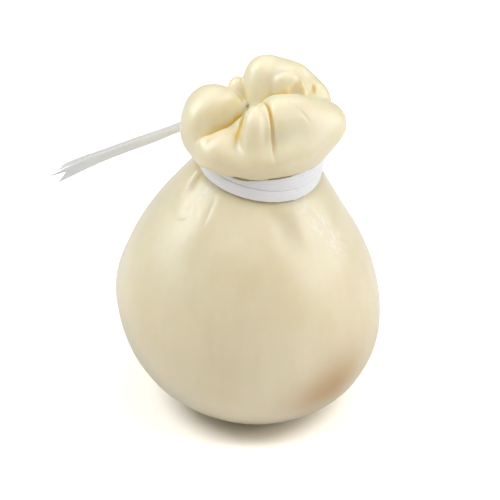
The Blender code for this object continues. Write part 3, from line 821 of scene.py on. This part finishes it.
def make_turn(name, node, span, outer_wave, dips, material):
    """One turn of ribbon, p(u, v): a flat strip with rounded edges carried round the leaning
    neck; its edges and its face wander a little, by sums of sines of u."""
    u = np.linspace(0.0, math.tau, TURN_COLUMNS, endpoint=False)[:, None]
    v = np.linspace(0.0, math.tau, TURN_SIDES, endpoint=False)[None, :]
    flat = np.sign(np.cos(v)) * np.abs(np.cos(v)) ** EDGE_POWER
    thick = np.sign(np.sin(v)) * np.abs(np.sin(v)) ** FACE_POWER
    middle = 0.5 * (span[0] + span[1])
    half = 0.5 * (span[1] - span[0]) - EDGE_ROOM
    wander = sum(size * np.sin(count * u + start) for size, count, start in EDGE_WAVE)
    height = middle + wander + half * flat
    angle = np.degrees(u)
    for dip in dips:
        height = height - dip.depth * bell(angle, dip.azimuth, dip.reach) * (0.5 + 0.5 * flat)
    proud = sum(size * (0.5 + 0.5 * np.sin(count * u + start)) for size, count, start in outer_wave)
    for kink in KINKS:
        proud = proud + kink.height * bell(angle - kink.slant * flat, kink.azimuth, KINK_REACH)
    crown = RIBBON_CROWN * (1.0 - flat ** 2)
    base = NECK_RADIUS + RIBBON_CLEARANCE + RIBBON_THICKNESS / 2
    radius = base + proud + crown + thick * RIBBON_THICKNESS / 2
    right, back, up = ring_axes()
    points = (RING_CENTRE + np.cos(u)[..., None] * radius[..., None] * right
              + np.sin(u)[..., None] * radius[..., None] * back + height[..., None] * up)
    index = np.arange(TURN_COLUMNS * TURN_SIDES).reshape(TURN_COLUMNS, TURN_SIDES)
    quads = sheet_faces(np.pad(index, ((0, 1), (0, 1)), mode="wrap"))
    piece = make_piece(name, points.reshape(-1, 3), quads.tolist(), material)
    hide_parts(node)
    add_attribute(piece, "across", np.broadcast_to(flat, radius.shape).ravel() * 0.5 * TAIL_WIDTH)
    add_attribute(piece, "along", np.broadcast_to(u * base, radius.shape).ravel())
    return piece


def make_knot(material):
    """The knot, p(u, v): a flattened ball whose radius has the ribs of a ribbon wound over it."""
    u = np.linspace(0.0, math.tau, KNOT_COLUMNS, endpoint=False)[None, :]
    v = np.linspace(-90.0, 90.0, KNOT_ROWS + 2)[1:-1, None]
    v = np.radians(v)
    shape = np.stack((np.cos(v) * np.cos(u), np.cos(v) * np.sin(u), np.sin(v) + 0.0 * u), axis=-1)
    around = np.arctan2(shape[..., 2], shape[..., 1] + KNOT_RIB_CENTRE)
    ribs = np.cos(KNOT_RIBS * around + KNOT_RIB_SLANT * shape[..., 0])
    radius = KNOT_FULLNESS - KNOT_GROOVE * (0.5 - 0.5 * ribs) ** 3
    local = shape * radius[..., None] * np.array(KNOT_SIZE)
    out = np.array((math.cos(KNOT_ANGLE), math.sin(KNOT_ANGLE), 0.0))
    side = np.array((-math.sin(KNOT_ANGLE), math.cos(KNOT_ANGLE), 0.0))
    reach = NECK_RADIUS + 2 * RIBBON_CLEARANCE + RIBBON_THICKNESS + KNOT_SIZE[0]
    rise = -reach * out[0] * LEAN_RIGHT + reach * out[1] * LEAN_FRONT
    centre = RING_CENTRE + reach * out + rise * UP
    grid = centre + local[..., :1] * out + local[..., 1:2] * side + local[..., 2:] * UP
    points = with_poles(grid)
    piece = make_piece("ribbon_knot", points, closed_grid_faces(*grid.shape[:2]), material)
    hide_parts("tie_knot")
    add_attribute(piece, "across", (points - centre)[:, 2] + KNOT_LINE_SLANT * (points - centre)[:, 0])
    add_attribute(piece, "along", (points - centre)[:, 0])
    return piece


def route_point(route, knots, reach):
    """The place at this reach along a smooth route."""
    return np.stack([smooth_line(reach, knots, route[:, axis]) for axis in range(3)], axis=-1)


def make_tail(name, node, tail, material):
    """A free end, p(s, a): a strip carried along its route, rolled about it, its edges bent a
    little to one side and its end cut to a swallow tail; the two faces are a thickness apart."""
    route = np.array(tail.route)
    steps = np.linalg.norm(np.diff(route, axis=0), axis=1)
    knots = np.concatenate(([0.0], np.cumsum(steps)))
    along = np.linspace(0.0, 1.0, TAIL_ROWS)[:, None]
    across = np.linspace(-1.0, 1.0, TAIL_COLUMNS)[None, :]
    cut = np.interp(across, (-1.0, NOTCH_AT, 1.0), tail.notch)
    reach = along * (knots[-1] - cut)
    centre = route_point(route, knots, reach)
    before = np.clip(reach - SMALL_STEP, 0.0, knots[-1] - 2 * SMALL_STEP)
    after = before + 2 * SMALL_STEP
    tangent = unit(route_point(route, knots, after) - route_point(route, knots, before))
    upright = unit(UP - tangent * tangent[..., 2:3])
    level = np.cross(upright, tangent)
    share = reach / knots[-1]
    roll = np.radians(tail.roll_at_knot + (tail.roll_at_tip - tail.roll_at_knot) * share)[..., None]
    width = upright * np.cos(roll) + level * np.sin(roll)
    facing = level * np.cos(roll) - upright * np.sin(roll)
    ripple = TAIL_RIPPLE * np.sin(RIPPLES_PER_METRE * reach) * across
    bend = TAIL_CUP * (across ** 2 - TAIL_CUP_LEVEL) + ripple
    spread = TAIL_GATHERED + (1.0 - TAIL_GATHERED) * soft_step(reach, *TAIL_SPREAD)
    lateral = across * spread + 1.0 - spread
    middle = centre + width * (lateral * TAIL_WIDTH / 2)[..., None] + facing * bend[..., None]
    rim = np.sqrt(np.maximum(1.0 - np.abs(across) ** RIM_POWER, RIM_LEAST)) * np.ones_like(reach)
    lift = facing * (TAIL_THICKNESS / 2 * rim)[..., None]
    points = np.concatenate(((middle + lift).reshape(-1, 3), (middle - lift).reshape(-1, 3)))
    index = np.arange(reach.size).reshape(reach.shape)
    quads = [sheet_faces(index), sheet_faces(index + reach.size)[:, (0, 3, 2, 1)]]
    edge = np.concatenate((index[0, :-1], index[:-1, -1], index[-1, :0:-1], index[:0:-1, 0]))
    next_edge = np.roll(edge, -1)
    quads.append(np.stack((edge, edge + reach.size, next_edge + reach.size, next_edge), axis=-1))
    piece = make_piece(name, points, np.concatenate(quads).tolist(), material)
    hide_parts(node)
    aside = np.broadcast_to(across * TAIL_WIDTH / 2, reach.shape)
    add_attribute(piece, "across", np.tile(aside.ravel(), 2))
    add_attribute(piece, "along", np.tile(reach.ravel(), 2))
    add_attribute(piece, "outer", np.tile(tail.greying * share.ravel() ** 2, 2))
    return piece


class Finish:
    """A material in the making: its helpers add one node each and hand back its result."""

    def __init__(self, name):
        self.material = bpy.data.materials.new(name)
        self.material.use_nodes = True
        self.tree = self.material.node_tree

    def feed(self, node, inputs):
        """Gives a node's inputs, by name or number, a value, a colour or another node's result."""
        for key, value in inputs.items():
            socket = node.inputs[key]
            if isinstance(value, bpy.types.NodeSocket):
                self.tree.links.new(value, socket)
            else:
                socket.default_value = (*value, 1.0) if socket.type == "RGBA" else value

    def add(self, kind, inputs, **settings):
        """A node of this kind with these inputs and settings."""
        node = self.tree.nodes.new(kind)
        for key, value in settings.items():
            setattr(node, key, value)
        self.feed(node, inputs)
        return node.outputs

    def attribute(self, name):
        """A number that the mesh holds at each point."""
        return self.add("ShaderNodeAttribute", {}, attribute_name=name)["Fac"]

    def noise(self, place, scale, detail, roughness):
        """Soft noise over a place, about 0 to 1."""
        inputs = {"Vector": place, "Scale": scale, "Detail": detail, "Roughness": roughness}
        return self.add("ShaderNodeTexNoise", inputs)["Fac"]

    def spread(self, value, old, new):
        """A value brought from its old range to a new one."""
        ends = {"From Min": old[0], "From Max": old[1], "To Min": new[0], "To Max": new[1]}
        return self.add("ShaderNodeMapRange", {"Value": value, **ends})["Result"]

    def blend(self, share, first, second, way="MIX"):
        """The first colour with this share of the second."""
        inputs = {0: share, 6: first, 7: second}
        return self.add("ShaderNodeMix", inputs, data_type="RGBA", blend_type=way)[2]

    def ramp(self, value, low, high):
        """A colour that runs from the low stop to the high one, each a (place, colour)."""
        outputs = self.add("ShaderNodeValToRGB", {"Fac": value})
        elements = outputs["Color"].node.color_ramp.elements
        for element, (place, colour) in zip(elements, (low, high)):
            element.position = place
            element.color = (*colour, 1.0)
        return outputs["Color"]

    def bump(self, height, strength, distance, **under):
        """Fine relief in the shading, over what is under it."""
        inputs = {"Height": height, "Strength": strength, "Distance": distance, **under}
        return self.add("ShaderNodeBump", inputs)["Normal"]

    def finished(self, inputs):
        """The material, with these inputs of its surface."""
        self.feed(self.tree.nodes["Principled BSDF"], inputs)
        return self.material


def rind_material():
    """The satin rind: two cream tones in slow patches, painted shade in gold in the folds, a
    painted brown shade low at the right, whiter speckles that are partly dry skin and partly
    painted sheen, painted light on the head, faint upright streaks, a fine pore bump, light that
    goes some way under the skin."""
    finish = Finish("cheese_rind")
    place = finish.add("ShaderNodeTexCoord", {})["Object"]
    long_place = finish.add("ShaderNodeMapping", {"Vector": place, "Scale": STREAK_STRETCH})["Vector"]
    patches = finish.noise(place, scale=16.0, detail=4.0, roughness=0.55)
    tones = finish.ramp(patches, (0.30, RIND_DEEP), (0.72, RIND_LIGHT))
    streaks = finish.noise(long_place, scale=90.0, detail=3.0, roughness=0.5)
    streak_tone = finish.ramp(streaks, (0.35, RIND_STREAK), (0.65, WHITE))
    height = finish.add("ShaderNodeSeparateXYZ", {"Vector": place})["Z"]
    # painted light: the head's tones are made lighter and cooler
    on_head = finish.spread(height, HEAD_PAINTED_LIGHT_HEIGHTS, (0.0, 1.0))
    head_lit_tones = finish.blend(on_head, tones, HEAD_PAINTED_LIGHT, "MULTIPLY")
    skin = finish.blend(1.0, head_lit_tones, streak_tone, "MULTIPLY")
    # painted shade: the darker brown patch low at the right
    shade_patched = finish.blend(finish.attribute("shade_patch"), skin, PAINTED_SHADE_BROWN)
    # whiter flecks below the tie: partly dry skin, partly painted sheen
    pale = finish.attribute("pale")
    speckle = finish.noise(long_place, scale=420.0, detail=2.0, roughness=0.5)
    broken = finish.spread(speckle, (0.45, 0.62), (0.25, 0.9))
    flecks = finish.add("ShaderNodeMath", {0: pale, 1: broken}, operation="MULTIPLY")["Value"]
    dry_sheen_flecked = finish.blend(flecks, shade_patched, DRY_SHEEN_WHITE)
    hollow = finish.attribute("hollow")
    # painted shade: gold laid into the folds, as deep as the hollow mask says
    depth = finish.ramp(hollow, (FOLD_HOLLOWS[0], BLACK), (FOLD_HOLLOWS[1], FOLD_MOST))
    waxy = finish.noise(place, scale=45.0, detail=5.0, roughness=0.6)
    sheen = finish.spread(waxy, (0.3, 0.7), SHEEN_ROUGHNESS)
    inputs = {0: pale, 1: DRY_ROUGHNESS, 2: sheen}
    matt = finish.add("ShaderNodeMath", inputs, operation="MULTIPLY_ADD")["Value"]
    pores = finish.noise(place, scale=900.0, detail=3.0, roughness=0.6)
    pore_bump = finish.bump(pores, strength=0.15, distance=0.0004)
    gloss = finish.spread(hollow, GLOSS_HOLLOWS, GLOSS_OPEN_TO_FOLDED)
    return finish.finished({
        "Base Color": finish.blend(depth, dry_sheen_flecked, FOLD_PAINTED_SHADE),
        "Roughness": matt,
        "Normal": finish.bump(streaks, strength=0.10, distance=0.0008, Normal=pore_bump),
        "Specular IOR Level": gloss,
        "Coat Weight": gloss,
        "Coat Roughness": 0.32,
        "Coat IOR": 1.6,
        "Subsurface Weight": 0.80,
        "Subsurface Radius": (1.0, 0.62, 0.28),
        "Subsurface Scale": 0.008,
    })


def ribbon_material():
    """White plastic ribbon: fine lines along it, read from its own across and along lengths,
    and a greyer tip."""
    finish = Finish("white_ribbon")
    both = {"X": finish.attribute("across"), "Y": finish.attribute("along")}
    place = finish.add("ShaderNodeCombineXYZ", both)["Vector"]
    long_place = finish.add("ShaderNodeMapping", {"Vector": place, "Scale": LINE_STRETCH})["Vector"]
    lines = finish.noise(long_place, scale=1500.0, detail=3.0, roughness=0.6)
    tone = finish.ramp(lines, (0.25, RIBBON_LINE), (0.55, RIBBON_WHITE))
    return finish.finished({
        "Base Color": finish.blend(finish.attribute("outer"), tone, RIBBON_TIP),
        "Normal": finish.bump(lines, strength=0.35, distance=0.0002),
        "Roughness": 0.34,
        "Specular IOR Level": 0.5,
        "Subsurface Weight": 0.7,
        "Subsurface Radius": (1.0, 1.0, 1.0),
        "Subsurface Scale": 0.002,
    })


def floor_material():
    """Plain and matt: a warm tone that its bluish suns turn white, and a darker one for the
    light it sends back to the cheese."""
    finish = Finish("pale_floor")
    seen = finish.add("ShaderNodeLightPath", {})["Is Camera Ray"]
    tone = finish.blend(seen, FLOOR_BOUNCE, FLOOR_SEEN)
    return finish.finished({"Base Color": tone, "Roughness": 0.9, "Specular IOR Level": 0.1})


def make_floor():
    """A wide square just under the flat spot."""
    mesh = bpy.data.meshes.new("floor")
    square = ((-1, -1), (1, -1), (1, 1), (-1, 1))
    corners = [(x * FLOOR_REACH, y * FLOOR_REACH, FLOOR_LEVEL) for x, y in square]
    mesh.from_pydata(corners, (), [(0, 1, 2, 3)])
    mesh.materials.append(floor_material())
    floor = bpy.data.objects.new("floor", mesh)
    bpy.context.scene.collection.objects.link(floor)
    return floor


def hang(name, data, place, aim):
    """A lamp or a camera at a place, turned to what it aims at."""
    hung = bpy.data.objects.new(name, data)
    hung.location = place
    hung.rotation_mode = "QUATERNION"
    hung.rotation_quaternion = (Vector(aim) - Vector(place)).to_track_quat("-Z", "Y")
    bpy.context.scene.collection.objects.link(hung)
    return hung


def make_lamps():
    """The soft lamps round the cheese."""
    for lamp in LAMPS:
        data = bpy.data.lights.new(lamp.name, "AREA")
        data.shape = "RECTANGLE"
        data.size, data.size_y = lamp.size
        data.energy = lamp.power
        data.color = lamp.colour
        hang(lamp.name, data, lamp.place, lamp.aim)


def make_floor_suns(floor):
    """Even light on the floor alone, from above and from both sides of the front, that
    over-exposes it as in the photograph and leaves a narrow shadow before the cheese."""
    lit = bpy.data.collections.new("floor_only")
    lit.objects.link(floor)
    for index, place in enumerate(FLOOR_SUN_PLACES):
        name = f"floor_sun_{index}"
        data = bpy.data.lights.new(name, "SUN")
        data.energy = FLOOR_SUN_POWER
        data.color = FLOOR_SUN_COLOUR
        data.angle = FLOOR_SUN_ANGLE
        hang(name, data, place, (0.0, 0.0, 0.0)).light_linking.receiver_collection = lit


def make_world():
    """Plain white: full where the camera sees it, softer where it lights the cheese."""
    world = bpy.data.worlds.new("studio")
    bpy.context.scene.world = world
    world.use_nodes = True
    nodes = world.node_tree.nodes
    link = world.node_tree.links.new
    lighting = nodes["Background"]
    shown = nodes.new("ShaderNodeBackground")
    mix = nodes.new("ShaderNodeMixShader")
    for socket, (part, strength) in enumerate(((lighting, WORLD_LIGHT), (shown, WORLD_SHOWN)), 1):
        part.inputs["Color"].default_value = (*WHITE, 1.0)
        part.inputs["Strength"].default_value = strength
        link(part.outputs["Background"], mix.inputs[socket])
    link(nodes.new("ShaderNodeLightPath").outputs["Is Camera Ray"], mix.inputs["Fac"])
    link(mix.outputs["Shader"], nodes["World Output"].inputs["Surface"])


def make_camera():
    """The photograph's view."""
    data = bpy.data.cameras.new("camera")
    data.sensor_width = CAMERA_SENSOR
    data.lens = CAMERA_LENS
    ahead = Vector((0.0, math.cos(CAMERA_DOWN), -math.sin(CAMERA_DOWN)))
    place = CAMERA_TARGET - ahead * CAMERA_DISTANCE
    bpy.context.scene.camera = hang("camera", data, place, CAMERA_TARGET)


def main():
    """The camera and the free ends first, then the cheese, the tie and the studio."""
    make_camera()
    ribbon = ribbon_material()
    for node, tail in TAILS.items():
        make_tail(node.replace("tie_tail", "ribbon_end"), node, tail, ribbon)
    make_turn("ribbon_lower", "tie_turn_lower", LOWER_TURN, LOWER_FACE_WAVE, (), ribbon)
    make_turn("ribbon_upper", "tie_turn_upper", UPPER_TURN, UPPER_FACE_WAVE, UPPER_DIPS, ribbon)
    make_knot(ribbon)
    make_cheese(rind_material())
    make_floor_suns(make_floor())
    make_world()
    make_lamps()
    bpy.context.scene.view_settings.view_transform = "Standard"


main()
